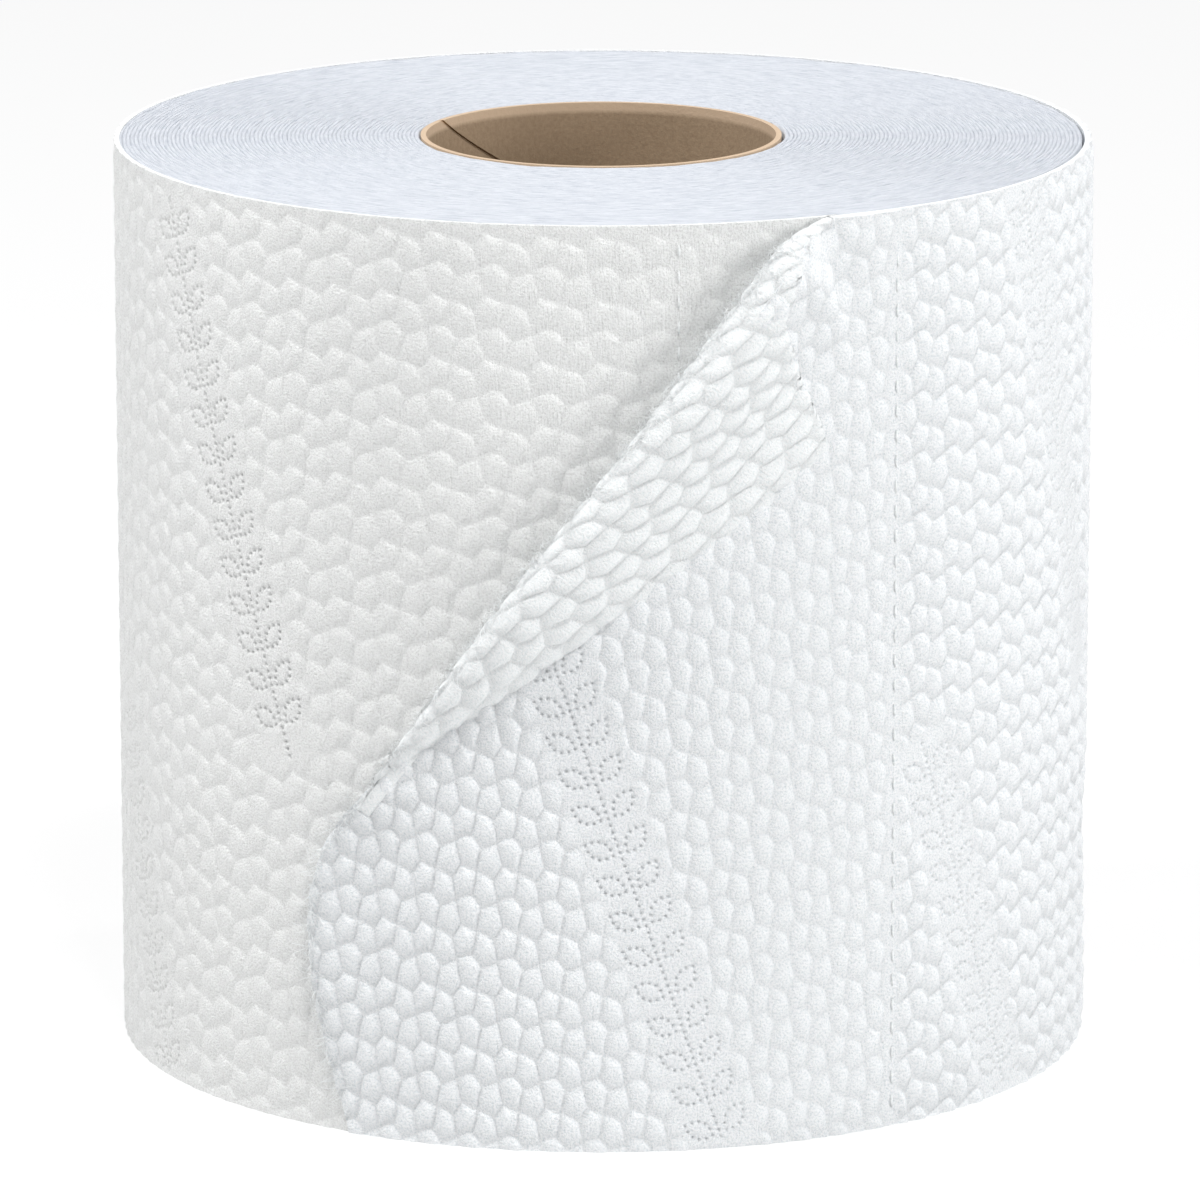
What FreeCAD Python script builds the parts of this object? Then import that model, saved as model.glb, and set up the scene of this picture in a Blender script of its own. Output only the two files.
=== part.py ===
"""Toilet paper roll: a spiral-wound card core with one embossed two-ply web wound on it.

The roll stands on its end. Its own frame has the origin on the axis at the bottom, +Z up along the axis, and
-Y towards the side where the last lap ends. Lengths are millimetres. "Web" coordinates unroll the last lap:
u runs along the web to the right and is zero at -Y, z runs up, and h stands out from the face of the lap.
"""

import FreeCAD, Part
import math
import os
from FreeCAD import Base, Vector

# Driving dimensions
HEIGHT = 100.0            # width of the web, which is the height of the standing roll
ROLL_RADIUS = 53.65       # to the face of the last lap
BORE_RADIUS = 19.15       # inside of the core
CORE_WALL = 0.6           # two plies of core board, glued
LAP = 0.45                # one turn of embossed two-ply tissue

# The end of the web, as points (u, z)
FREE_EDGE = [(-28.3, 0.0), (-31.5, 12.0), (-32.5, 23.5), (-30.3, 32.0), (-25.0, 38.7)]
FOLD_FOOT = FREE_EDGE[-1]         # the sheet lifts off the roll along the fold line, from here
FOLD_HEAD = (16.5, 92.9)          # to here, where the line rounds off
FOLD_SHOULDER = (19.8, 97.2)
SLIT_EDGE_END = (24.5, 100.0)     # the slit edge along the top of the roll ends here
SEAM = 40.0                       # the spiral's first quarter starts here, under the last lap

# The corner that is folded over onto the face of the lap, as points (u, z)
FLAP_START = (-29.8, 36.6)        # on the line of the flap's free edge, outside the bend
FLAP_CORNER = (25.4, 75.2)        # the corner of the sheet
FLAP_SIDE = (17.8, 90.5)          # on the flap's slit edge
FLAP_TOP = (17.2, 98.6)           # the slit edge meets the bend
OUTSIDE_TOP = (10.0, 98.6)        # clear of the bend

# The bend, across the fold line
BEND_RADIUS = 1.7                 # to the middle of the sheet
OVERHANG = 0.7                    # share of that radius by which the bend stands past the fold line
FOOT_BEND_RADIUS = 0.6            # the bend is tighter at its foot,
BEND_OPENING = 30.0               # and opens out over this length
LIFT_RUN = 5.0                    # the sheet rises off the roll over this run before the bend
SETTLE_RUN = 10.0                 # and the flap comes down again to the lap over this run
TUCK = 0.06                       # the flap is pressed this far into the lap
FLAP_REACH = 27.0                 # how far the swept sheet runs, past the flap's cut edges
FLAP_STEPS = 12                   # poles along that reach
FOLD_MARGIN = 6.0                 # how far the sheet is swept past each end of the fold line
STATIONS = 20                     # rows of poles along the fold


def on_roll(u, z, h=0.0):
    """The point at web coordinates u, z and h."""
    radius = ROLL_RADIUS + h
    angle = u / ROLL_RADIUS
    return Vector(radius * math.sin(angle), -radius * math.cos(angle), z)


def make_core():
    """A straight tube, cut off square at both ends."""
    outside = Part.makeCylinder(BORE_RADIUS + CORE_WALL, HEIGHT)
    return outside.cut(Part.makeCylinder(BORE_RADIUS, HEIGHT))


def quarter_turn(centre, radius, start):
    """A quarter circle, anticlockwise from the angle start about centre."""
    angles = (start, start + math.pi / 4, start + math.pi / 2)
    return Part.Arc(*[centre + radius * Vector(math.cos(a), math.sin(a), 0) for a in angles]).toShape()


def make_turns():
    """The wound web: a four-centred spiral that falls by one lap in a turn."""
    centre = Vector()
    radius = ROLL_RADIUS
    start = SEAM / ROLL_RADIUS - math.pi / 2
    arcs = []
    for _ in range(4):
        arcs.append(quarter_turn(centre, radius, start))
        start += math.pi / 2
        centre += LAP / 4 * Vector(math.cos(start), math.sin(start), 0)
        radius -= LAP / 4
    step = Part.LineSegment(arcs[-1].lastVertex().Point, arcs[0].firstVertex().Point).toShape()
    section = Part.Face(Part.Wire(arcs + [step]))
    hollow = Part.makeCylinder(BORE_RADIUS + CORE_WALL, HEIGHT)
    return section.extrude(Vector(0, 0, HEIGHT)).cut(hollow)


def curve_on(cylinder, points):
    """An edge on the cylinder: straight on the unrolled web between two points (u, z), or smooth through more."""
    flat = [Base.Vector2d(u / ROLL_RADIUS - math.pi / 2, z) for u, z in points]
    if len(flat) == 2:
        return Part.Geom2d.Line2dSegment(*flat).toShape(cylinder)
    curve = Part.Geom2d.BSplineCurve2d()
    curve.interpolate(flat)
    return curve.toShape(cylinder)


def solid_from(faces):
    """One solid that faces outwards, from faces that meet along their edges."""
    shell = Part.makeShell(faces)
    shell.sewShape()
    solid = Part.makeSolid(shell)
    if solid.Volume < 0:
        solid.reverse()
    return solid


def web_prism(outline, low, high):
    """The solid between heights low and high over an outline on the web. Its sides run along the roll's radii."""
    faces = []
    rims = []
    for h in (low, high):
        cylinder = Part.Cylinder()
        cylinder.Radius = ROLL_RADIUS + h
        rims.append([curve_on(cylinder, points) for points in outline])
        faces.append(Part.Face(cylinder, Part.Wire(rims[-1])))
    faces += [Part.makeRuledSurface(inner, outer) for inner, outer in zip(*rims)]
    return solid_from(faces)


def make_last_lap():
    """The end of the web on the turn below: its free edge, the fold line, and the slit edge along the top."""
    right = SEAM + 1.0
    return web_prism(
        [
            FREE_EDGE,
            [FOLD_FOOT, FOLD_HEAD],
            [FOLD_HEAD, FOLD_SHOULDER, SLIT_EDGE_END],
            [SLIT_EDGE_END, (right, HEIGHT)],
            [(right, HEIGHT), (right, 0.0)],
            [(right, 0.0), FREE_EDGE[0]],
        ],
        -1.5 * LAP,
        0.0,
    )


def ease(way):
    """A smooth rise from 0 to 1 as way goes from 0 to 1."""
    way = min(max(way, 0.0), 1.0)
    return way * way * (3 - 2 * way)


def sheet_across_fold(bend):
    """The middle of the sheet across the fold, as (distance right of the fold line, height) along its length."""
    low = -0.4 * LAP
    middle = bend + LAP / 2 - OVERHANG * bend
    top = low + 2 * bend
    settled = LAP / 2 - TUCK
    path = [(middle + LIFT_RUN * left, low - 0.5 * LAP * left * left) for left in (1.0, 0.7, 0.4)]
    for step in range(7):
        turn = math.pi * step / 6
        path.append((middle - bend * math.sin(turn), low + bend * (1 - math.cos(turn))))
    for step in range(1, FLAP_STEPS + 1):
        reach = step * FLAP_REACH / FLAP_STEPS
        path.append((middle + reach, top + (settled - top) * ease(reach / SETTLE_RUN)))
    return path


def shifted(path, distance):
    """The path moved sideways by distance, to its left as it runs."""
    moved = []
    last = len(path) - 1
    for index, (x, y) in enumerate(path):
        before = path[max(index - 1, 0)]
        after = path[min(index + 1, last)]
        across = Vector(before[1] - after[1], after[0] - before[0], 0).normalize()
        moved.append((x + distance * across.x, y + distance * across.y))
    return moved


def clamped_knots(poles):
    """Knots and their multiplicities for a smooth cubic over a number of poles, which starts and ends on them."""
    spans = poles - 3
    return list(range(spans + 1)), [4] + [1] * (spans - 1) + [4]


def fold_surface(side):
    """The face of the folded sheet on one side of its middle: -1 is round the outside of the bend."""
    run_u = FOLD_HEAD[0] - FOLD_FOOT[0]
    run_z = FOLD_HEAD[1] - FOLD_FOOT[1]
    length = math.hypot(run_u, run_z)
    along_u, along_z = run_u / length, run_z / length
    poles = []
    for station in range(STATIONS):
        s = -FOLD_MARGIN + station / (STATIONS - 1) * (length + 2 * FOLD_MARGIN)
        bend = FOOT_BEND_RADIUS + (BEND_RADIUS - FOOT_BEND_RADIUS) * ease(s / BEND_OPENING)
        row = []
        for a, h in shifted(sheet_across_fold(bend), side * LAP / 2):
            u = FOLD_FOOT[0] + s * along_u + a * along_z
            z = FOLD_FOOT[1] + s * along_z - a * along_u
            row.append(on_roll(u, z, h))
        poles.append(row)
    knots_along, mults_along = clamped_knots(len(poles))
    knots_across, mults_across = clamped_knots(len(poles[0]))
    surface = Part.BSplineSurface()
    surface.buildFromPolesMultsKnots(
        poles, mults_along, mults_across, knots_along, knots_across, False, False, 3, 3
    )
    return surface


def rim_edges(surface):
    """The four edges round a surface."""
    first_u, last_u, first_v, last_v = surface.bounds()
    curves = [surface.uIso(first_u), surface.vIso(last_v), surface.uIso(last_u), surface.vIso(first_v)]
    return [curve.toShape() for curve in curves]


def make_flap():
    """The folded-over corner: a sheet swept round the fold line, then trimmed to the sheet's own edges."""
    surfaces = [fold_surface(-1), fold_surface(1)]
    faces = [surface.toShape() for surface in surfaces]
    faces += [Part.makeRuledSurface(outer, inner, 1) for outer, inner in zip(*map(rim_edges, surfaces))]
    sheet = solid_from(faces)
    trim = web_prism(
        [
            [FLAP_START, FLAP_CORNER],
            [FLAP_CORNER, FLAP_SIDE, FLAP_TOP],
            [FLAP_TOP, OUTSIDE_TOP],
            [OUTSIDE_TOP, FLAP_START],
        ],
        -2.0 * LAP,
        4 * BEND_RADIUS,
    )
    return sheet.common(trim)


def make_tissue_roll():
    """The whole web as one solid."""
    return make_turns().fuse([make_last_lap(), make_flap()]).removeSplitter().Solids[0]


def main():
    os.makedirs("parts", exist_ok=True)
    nodes = {"core": make_core(), "tissue_roll": make_tissue_roll()}
    for name, shape in nodes.items():
        print(f"{name}: {len(shape.Solids)} solid, {shape.Volume:.0f} mm3, valid: {shape.isValid()}")
        shape.exportStep(f"parts/{name}.step")


main()
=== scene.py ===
# %% [markdown]
# # A toilet paper roll
# The roll is a long strip of soft two-ply tissue, the web, wound on a tube of brown board. Its size comes
# from a CAD model, which is opened here as a frame. This script makes what the eye meets, and the frame's
# own two parts are then left out of the picture.

# %% Open the frame
import math
import bmesh
import bpy
import numpy as np
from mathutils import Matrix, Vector
from mathutils.geometry import delaunay_2d_cdt


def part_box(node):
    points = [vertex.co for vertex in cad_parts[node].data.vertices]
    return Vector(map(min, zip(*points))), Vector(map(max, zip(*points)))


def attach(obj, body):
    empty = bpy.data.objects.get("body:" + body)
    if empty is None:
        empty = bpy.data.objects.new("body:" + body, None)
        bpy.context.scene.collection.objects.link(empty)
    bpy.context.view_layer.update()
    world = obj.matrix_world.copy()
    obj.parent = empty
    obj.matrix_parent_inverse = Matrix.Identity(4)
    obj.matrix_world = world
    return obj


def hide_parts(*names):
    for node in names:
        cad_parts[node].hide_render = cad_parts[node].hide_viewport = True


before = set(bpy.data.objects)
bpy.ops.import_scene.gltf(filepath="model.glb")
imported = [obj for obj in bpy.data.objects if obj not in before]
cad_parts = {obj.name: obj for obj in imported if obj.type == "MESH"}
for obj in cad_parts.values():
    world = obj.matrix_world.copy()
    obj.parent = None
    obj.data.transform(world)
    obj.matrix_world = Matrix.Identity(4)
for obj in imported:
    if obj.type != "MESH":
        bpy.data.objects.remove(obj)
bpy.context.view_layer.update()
scene = bpy.context.scene
print("CAD parts:", sorted(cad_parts))

# %% [markdown]
# ## Sizes
# The height and the radii are read from the frame. Flat work is drawn in millimetres, which suits paper,
# and is turned into Blender's metres when it is laid on the roll.

# %% Sizes of the roll, in millimetres
MM = 0.001
core_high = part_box("core")[1] / MM
HEIGHT = core_high.z
CORE_RADIUS = core_high.x
ROLL_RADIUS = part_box("tissue_roll")[1].x / MM
CORE_WALL = 0.6
LAP = 0.45                      # one turn of embossed two-ply tissue
TURN = 2 * math.pi * ROLL_RADIUS
SEAM = 40.0                     # the spiral under the last lap starts to fall from here
SHEET = 104.0                   # between two perforations
print(f"height {HEIGHT:.1f}, roll radius {ROLL_RADIUS:.2f}, core radius {CORE_RADIUS:.2f} mm")

# %% [markdown]
# ## Small helpers
# Colours are written in sRGB, as on the web, and Blender works in linear light, so one function turns them.
# Another adds a node to any tree, for materials and Geometry Nodes alike. Two more are for shapes that are
# drawn point by point: one joins rings of points by faces, and one makes a mesh of the result.

# %% Colour, node and mesh helpers
def linear(colour):
    """The linear red, green, blue and alpha of an sRGB colour such as "#F2F4F6"."""
    shares = [int(colour[start:start + 2], 16) / 255 for start in (1, 3, 5)]
    return [s / 12.92 if s <= 0.04045 else ((s + 0.055) / 1.055) ** 2.4 for s in shares] + [1.0]


def fill(tree, node, inputs):
    """Sets or links a node's inputs. A value that is itself a node stands for its first open output."""
    for key, value in inputs.items():
        if isinstance(value, bpy.types.Node):
            value = next(output for output in value.outputs if output.enabled)
        if isinstance(value, bpy.types.NodeSocket):
            tree.links.new(value, node.inputs[key])
        else:
            node.inputs[key].default_value = value


def add(tree, kind, inputs=None, **settings):
    """A new node in a tree, with its settings and inputs."""
    node = tree.nodes.new(kind)
    for name, value in settings.items():
        setattr(node, name, value)
    fill(tree, node, inputs or {})
    return node


def new_material(name):
    """A material with its node tree and its Principled shader."""
    material = bpy.data.materials.new(name)
    material.use_nodes = True
    return material, material.node_tree, material.node_tree.nodes["Principled BSDF"]


def join(made, rings):
    """Adds four-sided faces from each ring of points to the next."""
    for first, second in zip(rings, rings[1:]):
        for here in range(len(first)):
            after = (here + 1) % len(first)
            made.faces.new((first[here], first[after], second[after], second[here]))


def as_mesh(made, name):
    """A mesh of triangles from a bmesh."""
    bmesh.ops.triangulate(made, faces=made.faces[:])
    mesh = bpy.data.meshes.new(name)
    made.to_mesh(mesh)
    made.free()
    return mesh


# %% [markdown]
# ## Tissue
# Tissue is bleached wood pulp, scraped off a steel drum with a blade, which leaves crepe ridges about 0.1
# mm wide across the web. It is matt, so its roughness is near 1. The pattern is laid on the web's own
# coordinates, a UV map in metres, so that it runs up the roll and turns with the fold. Real crepe and
# clumps of fibres are too fine to show, so both are drawn coarser, 0.2 mm and 0.25 mm wide. The valleys of
# the net are painted darker, as painted shade. The sheets are copies of one tissue in lighter and darker
# tones: the turned corner, the ties and the fibres are painted lighter, as painted light, and the older
# turns greyer, as painted shade. The older turns also have deeper crepe.

# %% Tissue material
WEB_MAP = "web"
PAINTED_VALLEY_SHADE = "pressed"             # an attribute for painted shade: 1 in the valleys of the net, 0 on the crowns


def make_tissue(name, light, shade, crepe_depth, valley_painted_shade):
    """Soft white tissue: light and shade are its two tones, crepe_depth is the height of the crepe in mm, and
    the last value is how much darker the valleys of the net are painted, as painted shade."""
    material, tree, shader = new_material(name)
    web = add(tree, "ShaderNodeUVMap", uv_map=WEB_MAP)
    crepe_scale = (1 / (0.2 * MM), 1 / (1.6 * MM), 1.0)
    crepe_place = add(tree, "ShaderNodeMapping", {"Vector": web, "Scale": crepe_scale})
    crepe = add(tree, "ShaderNodeTexNoise", {"Vector": crepe_place, "Scale": 1.0, "Detail": 2.0})
    clump_scale = (1 / (0.25 * MM), 1 / (0.25 * MM), 1.0)
    clump_place = add(tree, "ShaderNodeMapping", {"Vector": web, "Scale": clump_scale})
    clumps = add(tree, "ShaderNodeTexNoise", {
        "Vector": clump_place, "Scale": 1.0, "Detail": 4.0, "Roughness": 0.7,
    })
    flecks = add(tree, "ShaderNodeMapRange", {"Value": clumps, "From Min": 0.34, "From Max": 0.56})
    tone = add(tree, "ShaderNodeMix", {
        "Factor": flecks, "A": linear(shade), "B": linear(light),
    }, data_type="RGBA")
    # Painted shade: the tone is darkened in the valleys of the net, by the attribute stored on each sheet
    pressed = add(tree, "ShaderNodeAttribute", attribute_name=PAINTED_VALLEY_SHADE)
    level = add(tree, "ShaderNodeMapRange", {
        "Value": pressed.outputs["Fac"], "To Min": 1.0, "To Max": 1 - valley_painted_shade,
    })
    valley_shaded_tone = add(tree, "ShaderNodeVectorMath", {0: tone, "Scale": level}, operation="SCALE")
    fibres = add(tree, "ShaderNodeBump", {"Height": clumps, "Strength": 1.0, "Distance": 0.25 * MM})
    ridges = add(tree, "ShaderNodeBump", {
        "Height": crepe, "Strength": 1.0, "Distance": crepe_depth * MM, "Normal": fibres,
    })
    fill(tree, shader, {"Base Color": valley_shaded_tone, "Normal": ridges, "Roughness": 0.95, "Specular IOR Level": 0.25})
    return material


tissue = make_tissue("embossed_tissue", "#FCFDFE", "#DEE4E7", 0.03, 0.10)
# Painted light: the turned corner, the ties and the fibres get lighter tones than the lap
tissue_under_side_painted_light = make_tissue("embossed_tissue_under_side", "#FEFFFF", "#EBF1F2", 0.03, 0.12)
# Painted shade: the third sheet is a little greyer, and the older turns are greyer still
tissue_third_painted_shade = make_tissue("embossed_tissue_third_sheet", "#F9FAFA", "#DDE0E1", 0.08, 0.03)
tissue_older_painted_shade = make_tissue("embossed_tissue_older_turn", "#F5F6F5", "#DEDEDD", 0.12, 0.01)
print("tissue materials:", tissue.name, tissue_under_side_painted_light.name, tissue_third_painted_shade.name, tissue_older_painted_shade.name)


# %% [markdown]
# ## Cut ends
# The ends of the roll are the cut edges of all the turns. A saw leaves them fuzzy and matt, and light sinks
# between them. They get more light than a wall in this studio, so their colours are written darker than
# they look. Short marks run along the turns, by the angle round the axis and the distance from it. Core
# board is brown kraft with darker and paler fibres, and is paler in a narrow band at the top.

# %% Cut ends and board
def make_cut_ends():
    """White tissue edges, sawn rough, with short marks 0.35 mm wide along the turns."""
    material, tree, shader = new_material("sawn_tissue_edges")
    place = add(tree, "ShaderNodeTexCoord")
    parts = add(tree, "ShaderNodeSeparateXYZ", {0: place.outputs["Object"]})
    angle = add(tree, "ShaderNodeMath", {0: parts.outputs["Y"], 1: parts.outputs["X"]}, operation="ARCTAN2")
    flat_place = add(tree, "ShaderNodeCombineXYZ", {"X": parts.outputs["X"], "Y": parts.outputs["Y"]})
    radius = add(tree, "ShaderNodeVectorMath", {0: flat_place}, operation="LENGTH")
    across = add(tree, "ShaderNodeMath", {0: radius, 1: 0.35 * MM}, operation="DIVIDE")
    round_about = add(tree, "ShaderNodeMath", {0: angle, 1: 14.0}, operation="MULTIPLY")
    marks_place = add(tree, "ShaderNodeCombineXYZ", {"X": across, "Y": round_about})
    marks = add(tree, "ShaderNodeTexNoise", {
        "Vector": marks_place, "Scale": 1.0, "Detail": 4.0, "Roughness": 0.7,
    })
    ramp = add(tree, "ShaderNodeMapRange", {"Value": marks, "From Min": 0.3, "From Max": 0.6})
    tone = add(tree, "ShaderNodeMix", {
        "Factor": ramp, "A": linear("#B5BAC2"), "B": linear("#CDD0D6"),
    }, data_type="RGBA")
    fill(tree, shader, {"Base Color": tone, "Roughness": 1.0, "Specular IOR Level": 0.2})
    return material


def make_board():
    """Brown kraft board with flecks of fibre about half a millimetre long."""
    material, tree, shader = new_material("kraft_core_board")
    place = add(tree, "ShaderNodeTexCoord")
    fleck_place = add(tree, "ShaderNodeMapping", {"Vector": place.outputs["Object"], "Scale": (1 / MM,) * 3})
    flecks = add(tree, "ShaderNodeTexNoise", {
        "Vector": fleck_place, "Scale": 2.2, "Detail": 4.0, "Roughness": 0.65,
    })
    tone = add(tree, "ShaderNodeMix", {
        "Factor": flecks, "A": linear("#846E57"), "B": linear("#AF997E"),
    }, data_type="RGBA")
    parts = add(tree, "ShaderNodeSeparateXYZ", {0: place.outputs["Object"]})
    rim_share = add(tree, "ShaderNodeMapRange", {
        "Value": parts.outputs["Z"], "To Max": 0.8,
        "From Min": (HEIGHT - 1.3) * MM, "From Max": (HEIGHT - 0.8) * MM,
    })
    paler = add(tree, "ShaderNodeMix", {
        "Factor": rim_share, "A": tone, "B": linear("#D2B99E"),
    }, data_type="RGBA")
    bump = add(tree, "ShaderNodeBump", {"Height": flecks, "Strength": 1.0, "Distance": 0.06 * MM})
    fill(tree, shader, {"Base Color": paler, "Normal": bump, "Roughness": 0.85})
    return material


cut_ends = make_cut_ends()
board = make_board()
print("materials:", cut_ends.name, board.name)

# %% [markdown]
# ## Embossing
# A steel roller with a raised net presses the two plies together. What it presses is a valley, and between
# the valleys the tissue stands up in small puffed cells like scales. The net repeats, so one tile of it is
# drawn: six points where valleys meet, ten slightly bowed valleys between them, and four cells inside. Each
# cell is a few rings that shrink towards its crown and rise. The crown leans to the upper right, as on the
# real embossing. A mesh whose edges lie in the valleys keeps them crisp with few faces.

# %% Draw one tile of the net
TILE_ROUND, TILE_UP = 4.53, 6.55      # the size of the tile on the last lap
MEETINGS = {
    "a": (0.0, 0.0), "b": (0.5, 0.51), "c": (0.63, 0.12), "d": (0.41, -0.13), "e": (0.12, 0.38),
    "f": (0.88, 0.6),
}
# How far a valley bows to its left, as a share of its length
BOWS = {
    "ad": 0.05, "db": 0.04, "bc": 0.0, "ca": -0.09, "cd": 0.0, "af": 0.045, "fb": -0.12, "fe": 0.055,
    "ea": -0.05, "eb": 0.0,
}
CELLS = [
    [("a", 0, 1), ("f", -1, 0), ("e", 0, 0), ("b", 0, 0), ("d", 0, 1)],
    [("c", 0, 1), ("d", 0, 1), ("b", 0, 0), ("f", 0, 0), ("a", 1, 1)],
    [("b", 0, 0), ("c", 0, 0), ("a", 1, 0), ("e", 1, 0), ("f", 0, 0)],
    [("e", 0, 0), ("a", 0, 0), ("d", 0, 0), ("c", 0, 0), ("b", 0, 0)],
]                                     # the meetings round each cell, with the tile that each is in
RINGS = [0.0, 0.13, 0.36, 0.68]       # shares of the way from the valley to the middle
STEPS = 3                             # along each valley
LEAN = (0.54, 0.50)                   # a cell's crown lies this far right of its middle, and above it


def meeting(letter, tiles_round, tiles_up):
    """Where a meeting of valleys lies, in a tile of the grid."""
    across, up = MEETINGS[letter]
    return Vector(((across + tiles_round) * TILE_ROUND, (up + tiles_up) * TILE_UP, 0.0))


def valley(start, end):
    """Points from one meeting of the net up to the next, along a bowed line."""
    first, last = meeting(*start), meeting(*end)
    letters = start[0] + end[0]
    bow = BOWS[letters] if letters in BOWS else -BOWS[letters[::-1]]
    left = Vector((first.y - last.y, last.x - first.x, 0.0))
    ways = [step / STEPS for step in range(STEPS)]
    return [first.lerp(last, way) + left * bow * 4 * way * (1 - way) for way in ways]


def puff(way):
    """The height of a cell, from 0 in the valley to 1 at its middle."""
    return 1 - (1 - way) ** 1.9


def make_tile():
    """The four cells of one tile, each a few rings and a crown."""
    tile = bmesh.new()
    for corners in CELLS:
        rim = [point for pair in zip(corners, corners[1:] + corners[:1]) for point in valley(*pair)]
        middle = sum(rim, Vector()) / len(rim) + Vector((*LEAN, 0.0))
        rings = []
        for way in RINGS:
            rise = Vector((0, 0, puff(way)))
            rings.append([tile.verts.new(point.lerp(middle, way) + rise) for point in rim])
        crown = tile.verts.new(middle + Vector((0, 0, 1)))
        join(tile, rings)
        for here, after in zip(rings[-1], rings[-1][1:] + rings[-1][:1]):
            tile.faces.new((here, after, crown))
    return as_mesh(tile, "net_tile")


tile_mesh = make_tile()
print("triangles in one tile:", len(tile_mesh.polygons))

# %% [markdown]
# ## Repeat the tile
# Geometry Nodes repeat the tile over a grid of points, stretch it to the pitch of that sheet, and weld the
# copies along their shared valleys. The result is still flat: x runs along the web, y up it, and z is the
# puff from 0 to 1.

# %% Geometry Nodes helpers
def new_tree(name, sizes):
    """A Geometry Nodes tree with a geometry input and one named input for each size, and those inputs."""
    tree = bpy.data.node_groups.new(name, "GeometryNodeTree")
    tree.is_modifier = True
    tree.interface.new_socket("Geometry", in_out="INPUT", socket_type="NodeSocketGeometry")
    for label, kind in sizes.items():
        tree.interface.new_socket(label, in_out="INPUT", socket_type="NodeSocket" + kind)
    tree.interface.new_socket("Geometry", in_out="OUTPUT", socket_type="NodeSocketGeometry")
    return tree, tree.nodes.new("NodeGroupInput").outputs


def finish_tree(tree, geometry, material):
    """Ends a tree with real geometry in a material."""
    real = add(tree, "GeometryNodeRealizeInstances", {"Geometry": geometry})
    painted = add(tree, "GeometryNodeSetMaterial", {"Geometry": real, "Material": material})
    add(tree, "NodeGroupOutput", {"Geometry": painted})


def grow(tree, base, values):
    """The plain mesh that a tree makes of a base mesh or curve, with the values of its named inputs."""
    grower = bpy.data.objects.new(tree.name, base)
    scene.collection.objects.link(grower)
    modifier = grower.modifiers.new(tree.name, "NODES")
    modifier.node_group = tree
    for item in tree.interface.items_tree:
        if item.in_out == "INPUT" and item.name in values:
            modifier[item.identifier] = values[item.name]
    graph = bpy.context.evaluated_depsgraph_get()
    mesh = bpy.data.meshes.new_from_object(grower.evaluated_get(graph), depsgraph=graph)
    bpy.data.objects.remove(grower)
    return mesh


# %% Tree: the net repeated over a sheet
net_tree, given = new_tree("net_over_a_sheet", {
    "Pitch round": "Float", "Pitch up": "Float", "Columns": "Int", "Rows": "Int",
    "Corner": "Vector", "Slant": "Float", "Material": "Material",
})
spans, stretches = [], []
for pitch, count, size in (("Pitch round", "Columns", TILE_ROUND), ("Pitch up", "Rows", TILE_UP)):
    gaps = add(net_tree, "ShaderNodeMath", {0: given[count], 1: 1.0}, operation="SUBTRACT")
    spans.append(add(net_tree, "ShaderNodeMath", {0: gaps, 1: given[pitch]}, operation="MULTIPLY"))
    stretches.append(add(net_tree, "ShaderNodeMath", {0: given[pitch], 1: size}, operation="DIVIDE"))
points = add(net_tree, "GeometryNodeMeshGrid", {
    "Size X": spans[0], "Size Y": spans[1], "Vertices X": given["Columns"], "Vertices Y": given["Rows"],
})
span = add(net_tree, "ShaderNodeCombineXYZ", {"X": spans[0], "Y": spans[1]})
half_span = add(net_tree, "ShaderNodeVectorMath", {0: span, "Scale": 0.5}, operation="SCALE")
from_corner = add(net_tree, "GeometryNodeTransform", {"Geometry": points, "Translation": half_span})
turn = add(net_tree, "ShaderNodeCombineXYZ", {"Z": given["Slant"]})
placed = add(net_tree, "GeometryNodeTransform", {
    "Geometry": from_corner, "Translation": given["Corner"], "Rotation": turn,
})
stretch = add(net_tree, "ShaderNodeCombineXYZ", {"X": stretches[0], "Y": stretches[1], "Z": 1.0})
tiles = add(net_tree, "GeometryNodeInstanceOnPoints", {
    "Points": placed, "Instance": given["Geometry"], "Rotation": turn, "Scale": stretch,
})
real = add(net_tree, "GeometryNodeRealizeInstances", {"Geometry": tiles})
welded = add(net_tree, "GeometryNodeMergeByDistance", {"Geometry": real, "Distance": 0.01})
finish_tree(net_tree, welded, given["Material"])
print("nodes in the tree of the net:", len(net_tree.nodes))


# %% [markdown]
# ## Cut a sheet out of the flat net
# A sheet has a straight edge top and bottom, where the web was slit, and a perforation or the web's end at
# each side. The net is cut along straight edges, and pulled onto curved ones. Then the sheet gets a rim and
# a plain back, so that it is a closed body as thick as the tissue.

# %% Cut and close a flat sheet
def flat_points(mesh):
    """The points of a mesh, one in a row."""
    co = np.empty(len(mesh.vertices) * 3)
    mesh.vertices.foreach_get("co", co)
    return co.reshape(-1, 3)


def face_corners(mesh):
    """The points of each triangle of a mesh, by number."""
    corners = np.empty(len(mesh.polygons) * 3, dtype=np.int32)
    mesh.polygons.foreach_get("vertices", corners)
    return corners.reshape(-1, 3)


def mend(sheet):
    """Removes faces that overlap along an edge, and parts corners that touch at one point."""
    crowded = [edge for edge in sheet.edges if len(edge.link_faces) > 2]
    while crowded:
        spare = [min(edge.link_faces, key=lambda face: face.calc_area()) for edge in crowded]
        bmesh.ops.delete(sheet, geom=list(dict.fromkeys(spare)), context="FACES")
        crowded = [edge for edge in sheet.edges if len(edge.link_faces) > 2]
    for vert in sheet.verts[:]:
        open_ends = [edge for edge in vert.link_edges if edge.is_boundary]
        if len(open_ends) > 2:
            bmesh.utils.vert_separate(vert, open_ends)


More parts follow.
